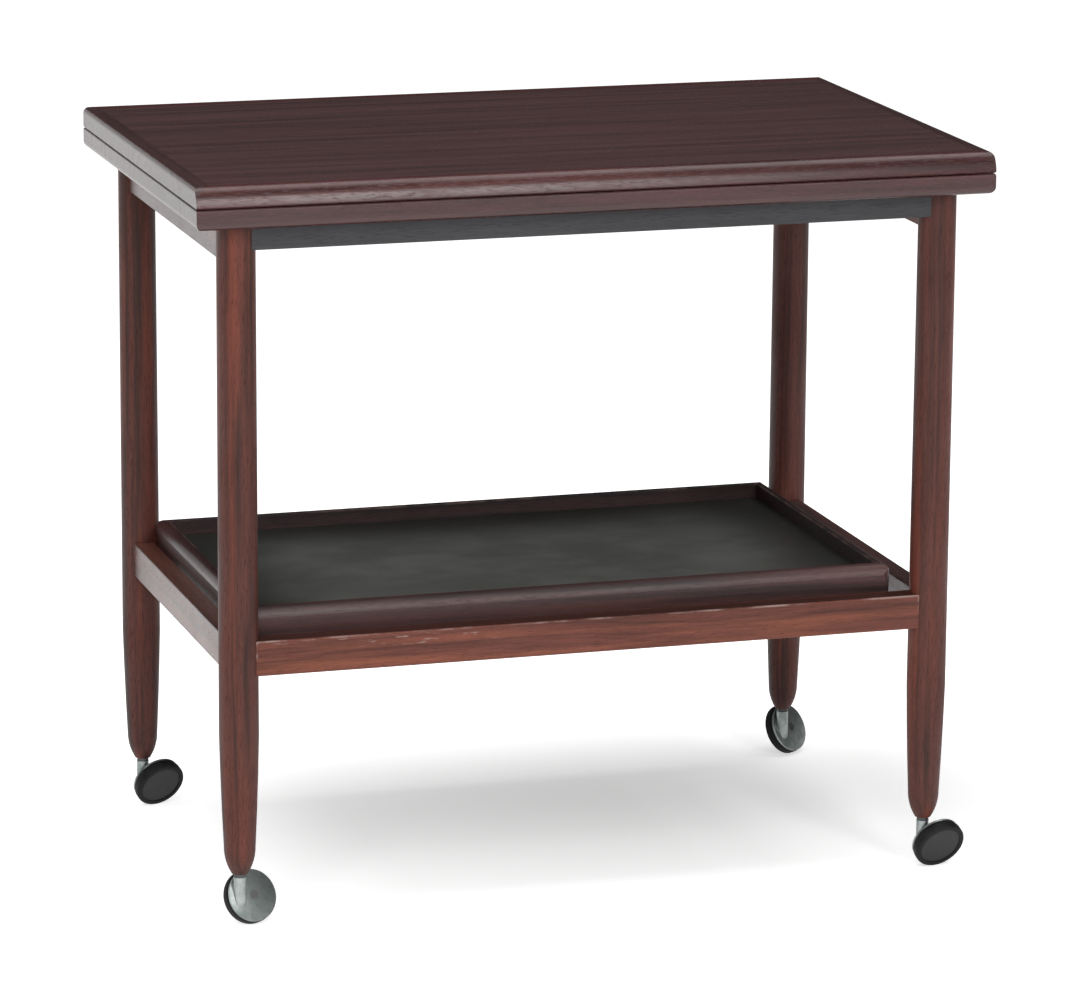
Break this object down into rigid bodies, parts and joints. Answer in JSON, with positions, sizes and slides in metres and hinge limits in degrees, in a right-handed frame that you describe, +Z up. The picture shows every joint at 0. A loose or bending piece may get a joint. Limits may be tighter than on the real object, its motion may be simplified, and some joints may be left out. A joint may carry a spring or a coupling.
{
  "type": "fold-over tea trolley",
  "caption": "Wooden tea trolley on castors: fold-over top of stacked leaves that slides on its leg frame, with a loose rimmed tray below.",
  "frame": {"origin": "on the floor, under the middle of the whole trolley's plan box", "axes": "+X along the long side to the trolley's right end, +Y from the front to the hinged back edge, +Z up"},
  "size_m": [0.75, 0.4676, 0.6881],
  "materials": {
    "rosewood": "oiled rosewood, satin",
    "black_stain": "black stained, satin",
    "hidden_wood": "dark stained, dull",
    "beech": "bare",
    "black_laminate": "satin laminate",
    "brass": "aged satin",
    "brass_screw": "aged satin",
    "steel": "bright",
    "zinc_hood": "dull zinc",
    "castor_disc": "matt black",
    "castor_tyre": "worn black"
  },
  "bodies": {
    "frame": {"castor_sockets": "steel", "frame_dowels": "beech", "leg_back_left": "rosewood", "leg_back_right": "rosewood", "leg_front_left": "rosewood", "leg_front_right": "rosewood", "lower_rail_back": "rosewood", "lower_rail_front": "rosewood", "lower_rail_left": "rosewood", "lower_rail_right": "rosewood", "tray_ledge_back": "hidden_wood", "tray_ledge_front": "hidden_wood", "tray_ledge_screws": "steel", "upper_apron_back": "black_stain", "upper_apron_front": "black_stain", "upper_rail_left": "rosewood", "upper_rail_right": "rosewood"},
    "lower_top": {"hinge_fixed_screws": "brass_screw", "hinge_left_fixed_plate": "brass", "hinge_left_pin": "brass", "hinge_right_fixed_plate": "brass", "hinge_right_pin": "brass", "lower_leaf": "rosewood", "slide_runner_left": "hidden_wood", "slide_runner_right": "hidden_wood", "slide_runner_screws": "steel"},
    "upper_top": {"hinge_left_moving_plate": "brass", "hinge_moving_screws": "brass_screw", "hinge_right_moving_plate": "brass", "upper_leaf": "rosewood"},
    "tray": {"tray_board": "black_laminate", "tray_rim_back": "rosewood", "tray_rim_front": "rosewood", "tray_rim_left": "rosewood", "tray_rim_right": "rosewood"},
    "castor_front_left": {"castor_front_left_hood": "zinc_hood", "castor_front_left_stem": "steel", "castor_front_left_axle": "steel"},
    "wheel_front_left": {"castor_front_left_wheel": "castor_disc", "castor_front_left_tyre": "castor_tyre"},
    "castor_front_right": {"castor_front_right_hood": "zinc_hood", "castor_front_right_stem": "steel", "castor_front_right_axle": "steel"},
    "wheel_front_right": {"castor_front_right_wheel": "castor_disc", "castor_front_right_tyre": "castor_tyre"},
    "castor_back_left": {"castor_back_left_hood": "zinc_hood", "castor_back_left_stem": "steel", "castor_back_left_axle": "steel"},
    "wheel_back_left": {"castor_back_left_wheel": "castor_disc", "castor_back_left_tyre": "castor_tyre"},
    "castor_back_right": {"castor_back_right_hood": "zinc_hood", "castor_back_right_stem": "steel", "castor_back_right_axle": "steel"},
    "wheel_back_right": {"castor_back_right_wheel": "castor_disc", "castor_back_right_tyre": "castor_tyre"}
  },
  "joints": [
    {"name": "top_slide", "type": "slide", "parent": "frame", "child": "lower_top", "axis": [0, -1, 0], "range_m": [0, 0.232]},
    {"name": "leaf_fold", "type": "hinge", "parent": "lower_top", "child": "upper_top", "pos_m": [0, 0.2306, 0.66874], "axis": [-1, 0, 0], "range_deg": [0, 180]},
    {"name": "tray_lift", "type": "slide", "parent": "frame", "child": "tray", "axis": [0, 0, 1], "range_m": [0, 0.3]},
    {"name": "castor_front_left_swivel", "type": "hinge", "parent": "frame", "child": "castor_front_left", "pos_m": [-0.3315, -0.1993, 0.04704], "axis": [0, 0, 1], "continuous": true},
    {"name": "wheel_front_left_spin", "type": "hinge", "parent": "castor_front_left", "child": "wheel_front_left", "pos_m": [-0.32037, -0.18824, 0.02369], "axis": [-0.2777, 0.8548, -0.4384], "continuous": true},
    {"name": "castor_front_right_swivel", "type": "hinge", "parent": "frame", "child": "castor_front_right", "pos_m": [0.3315, -0.1993, 0.04704], "axis": [0, 0, 1], "continuous": true},
    {"name": "wheel_front_right_spin", "type": "hinge", "parent": "castor_front_right", "child": "wheel_front_right", "pos_m": [0.34644, -0.20411, 0.02369], "axis": [0.1406, -0.8877, -0.4384], "continuous": true},
    {"name": "castor_back_left_swivel", "type": "hinge", "parent": "frame", "child": "castor_back_left", "pos_m": [-0.3315, 0.1957, 0.04704], "axis": [0, 0, 1], "continuous": true},
    {"name": "wheel_back_left_spin", "type": "hinge", "parent": "castor_back_left", "child": "wheel_back_left", "pos_m": [-0.31609, 0.19275, 0.02369], "axis": [0.2477, -0.864, -0.4384], "continuous": true},
    {"name": "castor_back_right_swivel", "type": "hinge", "parent": "frame", "child": "castor_back_right", "pos_m": [0.3315, 0.1957, 0.04704], "axis": [0, 0, 1], "continuous": true},
    {"name": "wheel_back_right_spin", "type": "hinge", "parent": "castor_back_right", "child": "wheel_back_right", "pos_m": [0.33891, 0.20953, 0.02369], "axis": [-0.5155, 0.7362, -0.4384], "continuous": true}
  ]
}
